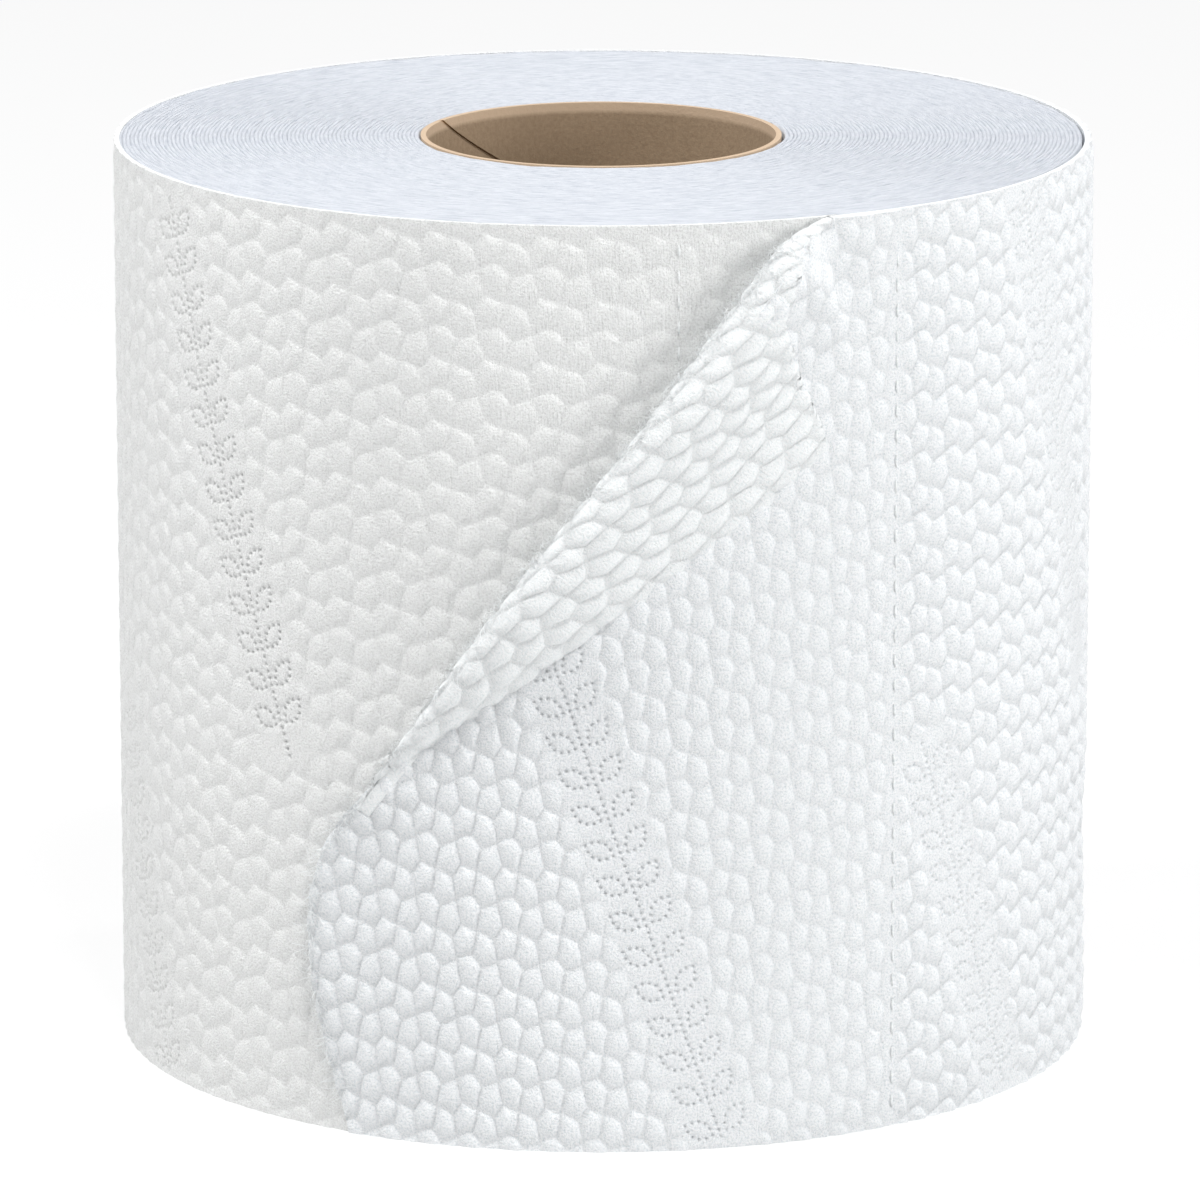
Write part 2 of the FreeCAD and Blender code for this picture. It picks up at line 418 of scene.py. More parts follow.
def close(sheet, low, high, back_step_x, back_step_y):
    """Gives a trimmed sheet a rim and a back at z = -1, which is cut up in steps so that it can bend."""
    edge_loop = [edge for edge in sheet.edges if edge.is_boundary]
    for edge in edge_loop:
        edge.smooth = False
    grown = bmesh.ops.extrude_edge_only(sheet, edges=edge_loop)["geom"]
    rim = [item for item in grown if isinstance(item, bmesh.types.BMVert)]
    for vert in rim:
        vert.co.z = -1.0
    rim_edges = [item for item in grown if isinstance(item, bmesh.types.BMEdge) and item.is_boundary]
    for edge in rim_edges:
        edge.smooth = False
    parts = bmesh.ops.contextual_create(sheet, geom=rim_edges)["faces"] + rim_edges + rim
    ends = [vert.co.x for vert in sheet.verts]
    lines = [((place, 0, 0), (1, 0, 0)) for place in np.arange(min(ends), max(ends), back_step_x)[1:]]
    if back_step_y:
        lines += [((0, place, 0), (0, 1, 0)) for place in np.arange(low, high, back_step_y)[1:]]
    for place, across in lines:
        parts = bmesh.ops.bisect_plane(sheet, geom=parts, dist=0.001, plane_co=place, plane_no=across)["geom"]


def cut_out(mesh, left, right, low, high, back_step_x, back_step_y=None):
    """Trims a flat net between left and right and between two heights, closes it and counts its open edges.
    Left and right are places, where the net is cut, or functions of the height, which pull it there."""
    flat, faces = flat_points(mesh), face_corners(mesh)
    x, y = flat[:, 0].copy(), flat[:, 1]
    near, far = (side(y) if callable(side) else np.full_like(y, side) for side in (left, right))
    outside, crossing = np.zeros(len(faces), dtype=bool), np.zeros(len(faces), dtype=bool)
    for beyond in (x < near, x > far, y < low, y > high):
        outside |= beyond[faces].all(axis=1)
        crossing |= beyond[faces].any(axis=1)
    flat[:, 0] = np.clip(x, near if callable(left) else -math.inf, far if callable(right) else math.inf)
    mesh.vertices.foreach_set("co", flat.ravel())
    sheet = bmesh.new()
    sheet.from_mesh(mesh)
    dropped = [face for face, away in zip(sheet.faces, outside) if away]
    parts = [face for face, cut in zip(sheet.faces, crossing & ~outside) if cut]
    parts += list(dict.fromkeys(item for face in parts for item in (*face.verts, *face.edges)))
    bmesh.ops.delete(sheet, geom=dropped, context="FACES")
    planes = [((0, low, 0), (0, -1, 0)), ((0, high, 0), (0, 1, 0))]
    sides = ((left, -1), (right, 1))
    planes += [((place, 0, 0), (side, 0, 0)) for place, side in sides if not callable(place)]
    for place, across in planes:
        parts = bmesh.ops.bisect_plane(sheet, geom=[item for item in parts if item.is_valid], dist=0.001,
                                       plane_co=place, plane_no=across, clear_outer=True)["geom"]
    bmesh.ops.triangulate(sheet, faces=[face for face in sheet.faces if len(face.verts) > 3])
    bmesh.ops.remove_doubles(sheet, verts=sheet.verts[:], dist=0.002)
    bmesh.ops.dissolve_degenerate(sheet, dist=0.001, edges=sheet.edges[:])
    mend(sheet)
    close(sheet, low, high, back_step_x, back_step_y)
    bmesh.ops.triangulate(sheet, faces=sheet.faces[:])
    bmesh.ops.recalc_face_normals(sheet, faces=sheet.faces[:])
    sheet.to_mesh(mesh)
    open_edges = sum(1 for edge in sheet.edges if not edge.is_manifold)
    sheet.free()
    return open_edges


# %% [markdown]
# ## Lay a sheet on the roll
# A flat point (x, y) goes to the angle x / radius round the axis and the height y. The radius falls by one
# lap in a turn, as the web is a spiral. The embossing stands out along the radius. It fades where the web
# is smooth: round the sprigs, and beside the perforations. The handled end is flatter than the sheet behind
# it, and older turns are the flatter the longer they have been wound in.

# %% From the flat web to the roll
# Places along the web, and the relief there from valley to crown
RELIEF_ALONG = [(33.2, 0.40), (33.3, 0.68), (90.0, 0.60), (200.0, 0.28), (241.0, 0.26)]
SMOOTH_PAINTED_SHADE = 0.5            # the share of painted valley shade where the web is smooth
VALLEY = 0.26                   # a valley lies this far below the face of the lap


def smooth(value, start=0.0, stop=1.0):
    """A smooth rise from 0 to 1 as a value goes from start to stop."""
    way = np.clip((value - start) / (stop - start), 0.0, 1.0)
    return way * way * (3 - 2 * way)


def on_roll(x, y, h):
    """Points in metres at x along the web, y up it and h out from the face of its lap, all in millimetres."""
    radius = ROLL_RADIUS - LAP * np.maximum(0.0, (x - SEAM) / TURN) + h
    angle = x / ROLL_RADIUS
    return np.stack([radius * np.sin(angle), -radius * np.cos(angle), y], axis=-1) * MM


def on_back(flat):
    """Which points of a flat sheet are on its back."""
    return flat[:, 2] < -0.5


def keep_web_map(mesh, flat):
    """Stores flat positions as the UV map of a mesh, in metres."""
    corners = np.empty(len(mesh.loops), dtype=np.int32)
    mesh.loops.foreach_get("vertex_index", corners)
    layer = mesh.uv_layers.get(WEB_MAP) or mesh.uv_layers.new(name=WEB_MAP)
    layer.data.foreach_set("uv", (flat[corners, :2] * MM).ravel())


def keep_painted_valley_shade(mesh, flat, fade=1.0):
    """Stores the painted shade of each point of a sheet, which darkens the valleys of the net: 1 in a valley,
    0 on a crown and on the back, and evenly in between where the web is smooth."""
    share = fade * (1 - np.clip(flat[:, 2], 0.0, 1.0)) + (1 - fade) * SMOOTH_PAINTED_SHADE
    share = np.where(on_back(flat), 0.0, share)
    mesh.attributes.new(PAINTED_VALLEY_SHADE, "FLOAT", "POINT").data.foreach_set("value", share)


def finish_piece(name, mesh, flat, points):
    """Puts the points of a flat mesh in place, shades it smooth and adds it to the scene as a piece."""
    mesh.vertices.foreach_set("co", points.ravel())
    keep_web_map(mesh, flat)
    mesh.shade_smooth()
    mesh.update()
    mesh.name = name
    piece = bpy.data.objects.new(name, mesh)
    scene.collection.objects.link(piece)
    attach(piece, "root")
    print(f"{name}: {len(mesh.polygons)} faces")
    return piece


# %% [markdown]
# ## Where the web is smooth
# On the real web, runs of a dotted ornament cross the net on a slant, each in a smooth strip of its own.
# Here the ornament is a plain sprig of leaves. The strips repeat on a slanted lattice, like the net. Beside
# each perforation the tissue is pressed flat for about a millimetre.

# %% The strips of ornament
STRIP = (20.0, -58.0)           # from a strip's upper end to its lower end
STRIP_LENGTH = math.hypot(*STRIP)
STRIP_HALF = 3.2                # half its width
STRIP_EDGE = 1.6                # the embossing fades in over this
NEXT_UP = (16.0, 58.0)          # from one strip to the next one above
PERFORATIONS = [33.2 + SHEET * number for number in range(4)]


def strips(first, next_right, left, right):
    """The upper ends of the strips that reach into a stretch of web. They are found from the first one's end
    and the way to the next one at its right."""
    ends = []
    for rounds in range(-4, 9):
        for ups in range(-3, 4):
            x = first[0] + rounds * next_right[0] + ups * NEXT_UP[0]
            y = first[1] + rounds * next_right[1] + ups * NEXT_UP[1]
            if x < right + 5 and x + STRIP[0] > left - 5 and y > -5 and y + STRIP[1] < HEIGHT - 3:
                ends.append((x, y))
    return ends


strip_last = [(-6.0, 56.0)]     # the only strip on the last sheet
strips_second = strips((37.0, 42.0), (43.0, -14.0), 33.2, 137.2)
strips_old = strips((265.0, 40.0), (62.0, -14.0), 137.2, 330.0)
print("strips on the second sheet:", len(strips_second), "and on the older sheets:", len(strips_old))


# %% How much of the embossing is left
def strip_share(x, y, ends):
    """How smooth the web is at a point because of the strips, from 0 to 1."""
    share = np.zeros_like(x)
    along = (STRIP[0] / STRIP_LENGTH, STRIP[1] / STRIP_LENGTH)
    for end in ends:
        forward = (x - end[0]) * along[0] + (y - end[1]) * along[1]
        past = np.maximum(np.maximum(-forward, forward - STRIP_LENGTH), 0.0)
        aside = np.abs((x - end[0]) * along[1] - (y - end[1]) * along[0])
        gap = np.hypot(past, np.maximum(aside - STRIP_HALF, 0.0))
        share = np.maximum(share, 1 - smooth(gap, 0.0, STRIP_EDGE))
    return share


def perforation_share(x):
    """The tissue is flat close to a perforation and embossed again 1.4 mm from it."""
    nearest = np.min([np.abs(x - place) for place in PERFORATIONS], axis=0)
    return 1 - smooth(nearest - 0.4)


def slit_share(y):
    """The embossing is partly crushed along the slit edges of the web, over a millimetre."""
    return 0.4 * (1 - smooth(np.minimum(y, HEIGHT - y)))


def embossed_share(flat, ends):
    """How much of the embossing is left at each point of a sheet, from 0 where the web is smooth to 1."""
    x, y, _ = flat.T
    return 1 - np.maximum.reduce([strip_share(x, y, ends), perforation_share(x), slit_share(y)])


# %% [markdown]
# ## The dots of the sprigs
# Short pins press each dot, a round pit half a millimetre wide. A stem runs down the middle of the strip
# and bears leaves in pairs, each outlined by dots. The net is too coarse to hold such pits, so where a dot
# goes its faces are taken out and a finer patch of triangles is put in, which keeps the rim of the hole as
# it was. A pit's points are marked with a z a little under 0, which is kept apart from -1, the mark of a
# sheet's back.

# %% Lay out one sprig
DOT_GAP = 0.78                  # from one dot to the next
DOT_RADIUS = 0.27
DOT_DEPTH = 0.28
DOT_MARK = 0.4                  # z is minus this at the bottom of a dot
LEAF_LENGTH, LEAF_HALF = 3.2, 0.95
LEAF_PITCH = 4.1                # from one pair of leaves to the next
LEAF_ANGLE = math.radians(130)  # from the way down the stem
STEM_GAP = 0.8                  # between a leaf's foot and the stem


def spaced(line, gap):
    """Points at equal distances of about gap along a line of points."""
    way = np.append(0.0, np.cumsum(np.hypot(*np.diff(line, axis=0).T)))
    places = np.linspace(0, way[-1], round(way[-1] / gap) + 1)
    return np.stack([np.interp(places, way, line[:, 0]), np.interp(places, way, line[:, 1])], axis=-1)


def sprig():
    """The dots of one sprig: distance down the stem, and aside from it."""
    share = np.linspace(0, 1, 25)
    side = LEAF_HALF * np.sin(math.pi * share) ** 0.8
    edge = np.stack([share * LEAF_LENGTH, side], axis=-1)
    leaf = spaced(np.vstack([edge, edge[::-1] * (1, -1)]), DOT_GAP)[:-1]
    dots = [spaced(np.array([(0.4, 0.0), (STRIP_LENGTH - 0.4, 0.0)]), DOT_GAP)]
    for foot in np.arange(LEAF_PITCH, STRIP_LENGTH, LEAF_PITCH):
        for turn in (LEAF_ANGLE, -LEAF_ANGLE):
            forward = foot + leaf[:, 0] * math.cos(turn) - leaf[:, 1] * math.sin(turn)
            aside = leaf[:, 0] * math.sin(turn) + leaf[:, 1] * math.cos(turn) + math.copysign(STEM_GAP, turn)
            dots.append(np.stack([forward, aside], axis=-1))
    return np.vstack(dots)


sprig_dots = sprig()
print("dots in one sprig:", len(sprig_dots))


# %% Heights of a sheet's points
def embossed(flat, fade):
    """Heights of a sheet's points over the face of its lap: the puff, faded by the ironing, and the dots."""
    height = flat[:, 2]
    relief = np.interp(flat[:, 0], *zip(*RELIEF_ALONG))
    ground = (1 - fade) * 0.5 * VALLEY - VALLEY
    front = ground + relief * fade * np.maximum(height, 0.0) + DOT_DEPTH * np.minimum(height, 0.0) / DOT_MARK
    return np.where(on_back(flat), -LAP - VALLEY, front)


# %% Where the dots go, and the net near them
MAP_STEP = 0.1                  # squares of the map that says where the net is too coarse
CLEAR_RADIUS = 0.5              # the net is taken out this far round each dot
DOT_MARGIN = 0.6                # no dot lies nearer than this to a sheet's edge
DOT_RINGS = [(0.0, 1, 1.0), (0.13, 6, 0.75), (DOT_RADIUS, 8, 0.0)]    # radius, points, depth share


def dot_centres(ends, left, right):
    """The centres of the dots that lie well inside a sheet."""
    along = np.array(STRIP) / STRIP_LENGTH
    aside = np.array((-along[1], along[0]))
    down, across = sprig_dots[:, :1] * along, sprig_dots[:, 1:] * aside
    centres = np.vstack([np.array(end) + down + across for end in ends])
    start = left(centres[:, 1]) if callable(left) else left
    inside = (centres[:, 0] > start + DOT_MARGIN) & (centres[:, 0] < right - DOT_MARGIN)
    return centres[inside & (centres[:, 1] > DOT_MARGIN) & (centres[:, 1] < HEIGHT - DOT_MARGIN)]


def ways_round(faces):
    """The edges of some triangles, each as it runs round its face."""
    pairs = np.vstack([faces[:, [0, 1]], faces[:, [1, 2]], faces[:, [2, 0]]])
    return {tuple(pair) for pair in pairs.tolist()}


def near_centres(places, centres):
    """Which places lie near a centre, by a map of small squares."""
    origin = places.reshape(-1, 2).min(axis=0)
    extent = places.reshape(-1, 2).max(axis=0) - origin
    squares = np.zeros(np.ceil(extent / MAP_STEP).astype(int) + 1, dtype=bool)
    reach = math.ceil(CLEAR_RADIUS / MAP_STEP)
    disc = np.array([(i, j) for i in range(-reach, reach + 1) for j in range(-reach, reach + 1)
                     if math.hypot(i, j) * MAP_STEP <= CLEAR_RADIUS])
    for centre in np.round((centres - origin) / MAP_STEP).astype(int):
        squares[tuple((centre + disc).T)] = True
    return squares[tuple(np.moveaxis(np.round((places - origin) / MAP_STEP).astype(int), -1, 0))]


# %% Press the dots into a flat net
def patch_over(fresh, rim):
    """Triangles over new points and the rim of the holes they fill. The rim runs round the old faces."""
    flat = [Vector(point) for point in fresh.tolist()]
    patch = delaunay_2d_cdt(flat, rim, [], 0, 1e-6, True)
    sources = [origins[0] for origins in patch[3]]
    faces = [tuple(sources[corner] for corner in face) for face in patch[2]]
    owner = {way: number for number, face in enumerate(faces) for way in zip(face, face[1:] + face[:1])}
    rim = set(rim)
    found = {owner[way] for way in rim}
    waiting = list(found)
    while waiting:
        face = faces[waiting.pop()]
        for first, second in zip(face, face[1:] + face[:1]):
            neighbour = owner.get((second, first))
            if (first, second) not in rim and neighbour is not None and neighbour not in found:
                found.add(neighbour)
                waiting.append(neighbour)
    return np.array([faces[number] for number in sorted(found)])


def press_dots(mesh, centres, material):
    """A flat net with a finer patch and a pit in it round each centre."""
    flat, faces = flat_points(mesh), face_corners(mesh)
    corners = flat[faces][:, :, :2]
    turned = np.cross(corners[:, 1] - corners[:, 0], corners[:, 2] - corners[:, 0]) < 0
    faces[turned] = faces[turned][:, ::-1]
    samples = np.array([
        (1, 0, 0), (0, 1, 0), (0, 0, 1), (0.5, 0.5, 0), (0, 0.5, 0.5), (0.5, 0, 0.5), (1 / 3,) * 3,
    ])
    cut = near_centres(np.einsum("fcx,sc->fsx", corners, samples), centres).any(axis=1)
    kept = ways_round(faces[~cut])
    rim = sorted(way for way in ways_round(faces[cut]) if way[::-1] in kept)
    rim_points = sorted({point for way in rim for point in way})
    number = {point: index for index, point in enumerate(rim_points)}
    pits = []
    for radius, count, depth in DOT_RINGS:
        for turn in 2 * math.pi * np.arange(count) / count:
            ring = centres + radius * np.array((math.cos(turn), math.sin(turn)))
            pits.append(np.column_stack([ring, np.full(len(centres), -DOT_MARK * depth)]))
    fresh = np.vstack([flat[rim_points], *pits])
    fine = patch_over(fresh[:, :2], [(number[first], number[second]) for first, second in rim])
    names = np.array(rim_points + list(range(len(flat), len(flat) + len(fresh) - len(rim_points))))
    pressed = bpy.data.meshes.new(mesh.name)
    pressed.from_pydata(np.vstack([flat, *pits]).tolist(), [], np.vstack([faces[~cut], names[fine]]).tolist())
    pressed.materials.append(material)
    return pressed


# %% [markdown]
# ## The last lap
# The web ends in front. Its free edge is short and curved at the lower left, where it stands a little off
# the roll. From there the sheet is turned over along a slanted fold. The fold line is straight, then turns
# towards the top rim and meets it. What lies right of that line is this sheet, up to the first perforation.
# The bend is tight at its foot, opens to a soft roll further up, and closes again at the rim. It is
# described once here, because the lap below rises into its head.

# %% Outline of the end of the web
FREE_EDGE = [(-28.3, 0.0), (-31.5, 12.0), (-32.5, 23.5), (-30.3, 32.0), (-25.0, 38.7)]
FOLD_FOOT = (-25.0, 38.7)
FOLD_HEAD = (19.0, 96.1)        # the fold line is straight up to here
HEAD_TURN = math.radians(30)    # then turns this far towards the rim
HEAD_CURVE = 5.0                # over this length
HEAD_RUN = 7.0                  # and meets the rim after this length
fold_length = math.dist(FOLD_FOOT, FOLD_HEAD)
fold_angle = math.atan2(FOLD_HEAD[1] - FOLD_FOOT[1], FOLD_HEAD[0] - FOLD_FOOT[0])
head_ways = np.linspace(0, HEAD_RUN, 71)
head_headings = fold_angle - HEAD_TURN * np.minimum(head_ways / HEAD_CURVE, 1.0)
head_x = FOLD_HEAD[0] + np.append(0.0, np.cumsum(np.cos(head_headings[:-1]) * head_ways[1]))
head_y = FOLD_HEAD[1] + np.append(0.0, np.cumsum(np.sin(head_headings[:-1]) * head_ways[1]))


def smooth_line(points, count):
    """Points on a smooth curve through a few points (a Catmull-Rom spline)."""
    known = np.array([points[0], *points, points[-1]], dtype=float)
    line = []
    for before, start, end, after in zip(known, known[1:], known[2:], known[3:]):
        for way in np.arange(count) / count:
            bend = (2 * before - 5 * start + 4 * end - after) * way ** 2
            turn = (3 * start - before - 3 * end + after) * way ** 3
            line.append(0.5 * (2 * start + (end - before) * way + bend + turn))
    return np.array(line + [known[-1]])


def fold_line(s):
    """Points and directions on the fold line at distances s from its foot."""
    straight = np.minimum(s, fold_length)
    beyond = s > fold_length
    heads = [np.interp(s - fold_length, head_ways, values) for values in (head_x, head_y, head_headings)]
    x = np.where(beyond, heads[0], FOLD_FOOT[0] + straight * math.cos(fold_angle))
    y = np.where(beyond, heads[1], FOLD_FOOT[1] + straight * math.sin(fold_angle))
    return x, y, np.where(beyond, heads[2], fold_angle)


def from_fold(x, y):
    """How far up the fold line a point of the web lies, and how far to the right of it."""
    x_foot, y_foot = x - FOLD_FOOT[0], y - FOLD_FOOT[1]
    s = x_foot * math.cos(fold_angle) + y_foot * math.sin(fold_angle)
    a = x_foot * math.sin(fold_angle) - y_foot * math.cos(fold_angle)
    beyond = np.flatnonzero(s > fold_length)
    x_head, y_head = x[beyond, None] - head_x, y[beyond, None] - head_y
    nearest = np.argmin(np.hypot(x_head, y_head), axis=1)
    rows = np.arange(len(beyond))
    x_head, y_head, heading = x_head[rows, nearest], y_head[rows, nearest], head_headings[nearest]
    s[beyond] = fold_length + head_ways[nearest] + x_head * np.cos(heading) + y_head * np.sin(heading)
    a[beyond] = x_head * np.sin(heading) - y_head * np.cos(heading)
    return s, a


free_edge = smooth_line(FREE_EDGE, 8)
end_line = np.vstack([free_edge, np.stack([head_x, head_y], axis=-1)])
print(f"fold line: {fold_length + HEAD_RUN:.1f} mm long, at {math.degrees(fold_angle):.1f} degrees")


def web_end(y):
    """The left edge of the last lap at each height."""
    return np.interp(y, end_line[:, 1], end_line[:, 0])


# %% The bend
BEND_RADIUS = 1.7               # to the middle of the sheet
FOOT_BEND_RADIUS = 0.35
RIM_BEND_RADIUS = 0.45
BEND_OPENING = 30.0             # the bend opens over this length
HEAD_SWELL = 0.5                # and is this much wider near its head,
SWELL_RISE = (40.0, 65.0)       # from between these distances up the fold
CLOSING_START = 1.5             # it starts to close this far before the fold line turns
CLOSING_RUN = 8.0               # and closes over this length
OVERHANG = 0.7                  # share of its radius by which it stands past the fold line
UNDER_RUN = 1.5                 # the part tucked under the lap before the bend
SETTLE_RUN = 10.0               # the corner comes down to the lap over this at most
SETTLE_SLOPE = 0.28             # and over less near the foot, where it is narrow
SETTLED = LAP - 0.15            # and its upper face then lies this high
LIFT = 1.3                      # the free edge stands this far off the roll at most
LIFT_REACH = 9.0                # and comes down to it over this
LIFT_RISE = (0.0, 24.0)         # it lifts from the table up to the second height,
LIFT_FALL = (36.0, 58.0)        # and less and less between these two
HEAD_RISE = (57.0, 66.0)        # the lap rises into the head of the bend between these distances up the fold
CRUMPLE = 0.15                  # half the height of the waves there


def bend_radius(s):
    """To the middle of the sheet, at distances up the fold line."""
    opened = FOOT_BEND_RADIUS + (BEND_RADIUS - FOOT_BEND_RADIUS) * smooth(s, 0.0, BEND_OPENING)
    opened += HEAD_SWELL * smooth(s, *SWELL_RISE)
    return opened + (RIM_BEND_RADIUS - opened) * smooth((s - fold_length + CLOSING_START) / CLOSING_RUN)


def settle_run(s):
    """The corner comes down to the lap over this, and over less where it is narrow."""
    return np.clip(SETTLE_SLOPE * (s + 3.0), 1.0, SETTLE_RUN)


def across_fold(s, q):
    """The outside of the folded sheet at distance q across it: how far right of the fold line, how high."""
    bend = bend_radius(s)
    outer = bend + LAP / 2
    low = -0.4 * LAP
    middle = outer - OVERHANG * bend
    turn = np.clip((q - UNDER_RUN) / outer, 0.0, math.pi)
    reach = np.maximum(0.0, q - UNDER_RUN - math.pi * outer)
    under = np.maximum(0.0, UNDER_RUN - q)
    high = low + 2 * bend + LAP / 2
    height = low + bend - outer * np.cos(turn) + (SETTLED - high) * smooth(reach, 0.0, settle_run(s))
    return middle - outer * np.sin(turn) + reach + under, height


# %% How the lap lifts
def lifted(x, y):
    """How far the end of the web stands off the roll near its free edge."""
    edge = np.interp(y, free_edge[:, 1], free_edge[:, 0])
    along = smooth(y, *LIFT_RISE) * (1 - smooth(y, *LIFT_FALL))
    return LIFT * along * (1 - smooth(x - edge, 0.0, LIFT_REACH)) ** 1.5


def risen(x, y):
    """How far the lap rises to join the top of the bend, near the bend's head."""
    s, a = from_fold(x, y)
    bend = bend_radius(s)
    outer = bend + LAP / 2
    top_q = UNDER_RUN + math.pi * outer + np.maximum(0.0, a - (outer - OVERHANG * bend))
    room = across_fold(s, top_q)[1] - SETTLED * smooth(a, 0.0, SETTLE_RUN)
    return smooth(s, *HEAD_RISE) * np.maximum(0.0, room)


def crumpled(x, y):
    """Soft waves near the head of the fold, where the corner was pulled over."""
    share = smooth(y, 78.0, 88.0) * (1 - smooth(x, 26.0, 34.0))
    return CRUMPLE * share * (np.sin(0.9 * x + 0.4 * y) + np.sin(0.8 * y - 0.5 * x))


# %% Sheets of the last turn and a bit
SHEETS = [
    # name, left, right, pitch round, pitch up, a corner of the net, its strips, material
    ("sheet_last", None, 33.2, 4.53, 6.55, (9.25, 50.0), strip_last, tissue),
    ("sheet_second", 33.2, 137.2, 4.60, 6.55, (33.2, 50.0), strips_second, tissue),
    ("sheet_third", 137.2, 241.2, 5.20, 6.62, (137.2, 50.0), strips_old, tissue_third_painted_shade),
    ("sheet_fourth", 241.2, 345.2, 5.875, 6.71, (268.0, 91.67), strips_old, tissue_older_painted_shade),
    ("sheet_fifth", 345.2, 363.0, 5.875, 6.71, (268.0, 91.67), strips_old, tissue_older_painted_shade),
]
BACK_STEP = 6.0
LIFTED_BACK_STEP = 3.0          # finer where the web lifts


# %% Lay the sheets
def net_values(left, right, low, high, pitch_round, pitch_up, corner, material, slant=0.0):
    """Values for the tree, so that whole tiles from a corner cover a stretch of web with some to spare."""
    first_column = math.floor((left - corner[0]) / pitch_round) - 1
    first_row = math.floor((low - corner[1]) / pitch_up) - 1
    return {
        "Pitch round": pitch_round, "Pitch up": pitch_up, "Material": material, "Slant": slant,
        "Corner": (corner[0] + first_column * pitch_round, corner[1] + first_row * pitch_up, 0.0),
        "Columns": math.ceil((right - left) / pitch_round) + 3,
        "Rows": math.ceil((high - low) / pitch_up) + 3,
    }


for name, left, right, pitch_round, pitch_up, corner, ends, material in SHEETS:
    start = -34.0 if left is None else left
    values = net_values(start, right, 0.0, HEIGHT, pitch_round, pitch_up, corner, material)
    mesh = grow(net_tree, tile_mesh, values)
    near = web_end if left is None else left
    centres = dot_centres(ends, near, right)
    if len(centres):
        mesh = press_dots(mesh, centres, material)
    back_steps = (LIFTED_BACK_STEP, LIFTED_BACK_STEP) if left is None else (BACK_STEP,)
    open_edges = cut_out(mesh, near, right, 0.0, HEIGHT, *back_steps)
    flat = flat_points(mesh)
    fade = embossed_share(flat, ends)
    keep_painted_valley_shade(mesh, flat, fade)
    height = embossed(flat, fade)
    if left is None:
        x, y = flat[:, 0], flat[:, 1]
        height += lifted(x, y) + np.where(on_back(flat), 0.0, risen(x, y) + crumpled(x, y))
    finish_piece(name, mesh, flat, on_roll(flat[:, 0], flat[:, 1], height))
    print("dots:", len(centres), "open edges:", open_edges)


# %% [markdown]
# ## The ties of the perforations
# A perforation is a row of short cuts with a tie of paper left between each two. When the web is pulled
# tight over the roll the ties stand up a little and catch the light. The tree that repeats the net repeats
# them too. As it stretches its tile to the pitch, a tie is drawn smaller by the same share.

# %% Rows of ties
TIE_PITCH = 2.7
TIE_SIZE = (0.14, 0.8, 0.13)    # half its width, length and height
ball = bmesh.new()
bmesh.ops.create_icosphere(ball, subdivisions=1, radius=1.0)
shrunk = (TIE_SIZE[0] * TILE_ROUND / SHEET, TIE_SIZE[1] * TILE_UP / TIE_PITCH, TIE_SIZE[2])
bmesh.ops.scale(ball, verts=ball.verts[:], vec=shrunk)
tie_mesh = as_mesh(ball, "perforation_tie")
tie_rows = int((HEIGHT - 2.0) / TIE_PITCH)
ties_mesh = grow(net_tree, tie_mesh, {
    "Pitch round": SHEET, "Pitch up": TIE_PITCH, "Columns": len(PERFORATIONS), "Rows": tie_rows, "Slant": 0.0,
    "Corner": (PERFORATIONS[0], (HEIGHT - (tie_rows - 1) * TIE_PITCH) / 2, 0.0),
    "Material": tissue_under_side_painted_light,
})
flat = flat_points(ties_mesh)
finish_piece("perforation_ties", ties_mesh, flat, on_roll(*flat.T))


# %% [markdown]
# ## The turned corner
# The corner is the same sheet, folded back, so it shows its under side. Its net is turned with it and lies
# at about a third of a right angle. It is drawn flat as well: y runs up the fold line and x across it,
# along the outside of the bend. Beyond the bend the corner settles on the lap below.

# %% The outline of the corner
FLAP_START = -2.5               # the free edge crosses the bend here
FLAP_TOP = fold_length + HEAD_RUN
# From the sheet's corner to the rim, as distance up the fold line and across it
SLIT_EDGE = [(59.6, 17.9), (67.0, 3.4), (72.0, 1.6), (FLAP_TOP, 0.6)]
FLAP_NET = (3.91, 7.88)         # pitch across and along the cells on the corner
FLAP_SLANT = math.radians(33.4)  # of the long way of the cells, above the horizontal
FLAP_RELIEF = 0.50
FLAP_VALLEY = 0.12              # a valley lies this far below the face of the bent sheet
STRETCH_RUN = 9.0               # round the bend the tissue is stretched, so its puff is flatter over this
EDGE_RUN = 1.8                  # near its cut edges the corner is pressed into the lap,
EDGE_PRESS = 0.6                # this far on its outside,
BACK_PRESS = 0.45               # and this far on its inside, so that it thins to its edge
HEAD_EDGE_RUN = 0.6             # it thins over less near the head, where the lap rises to it
NUDGE = 0.05                    # its slope is measured this far to each side of a point


def flap_edge(s):
    """The cut edge of the corner, across the fold: the free edge of the web, then its slit edge."""
    start = (-OVERHANG - 1.0) * FOOT_BEND_RADIUS
    ups = [FLAP_START] + [point[0] for point in SLIT_EDGE]
    reaches = [start] + [point[1] for point in SLIT_EDGE]
    beyond_bend = np.interp(s, ups, reaches) - (bend_radius(s) + LAP / 2 - OVERHANG * bend_radius(s))
    return UNDER_RUN + math.pi * (bend_radius(s) + LAP / 2) + beyond_bend


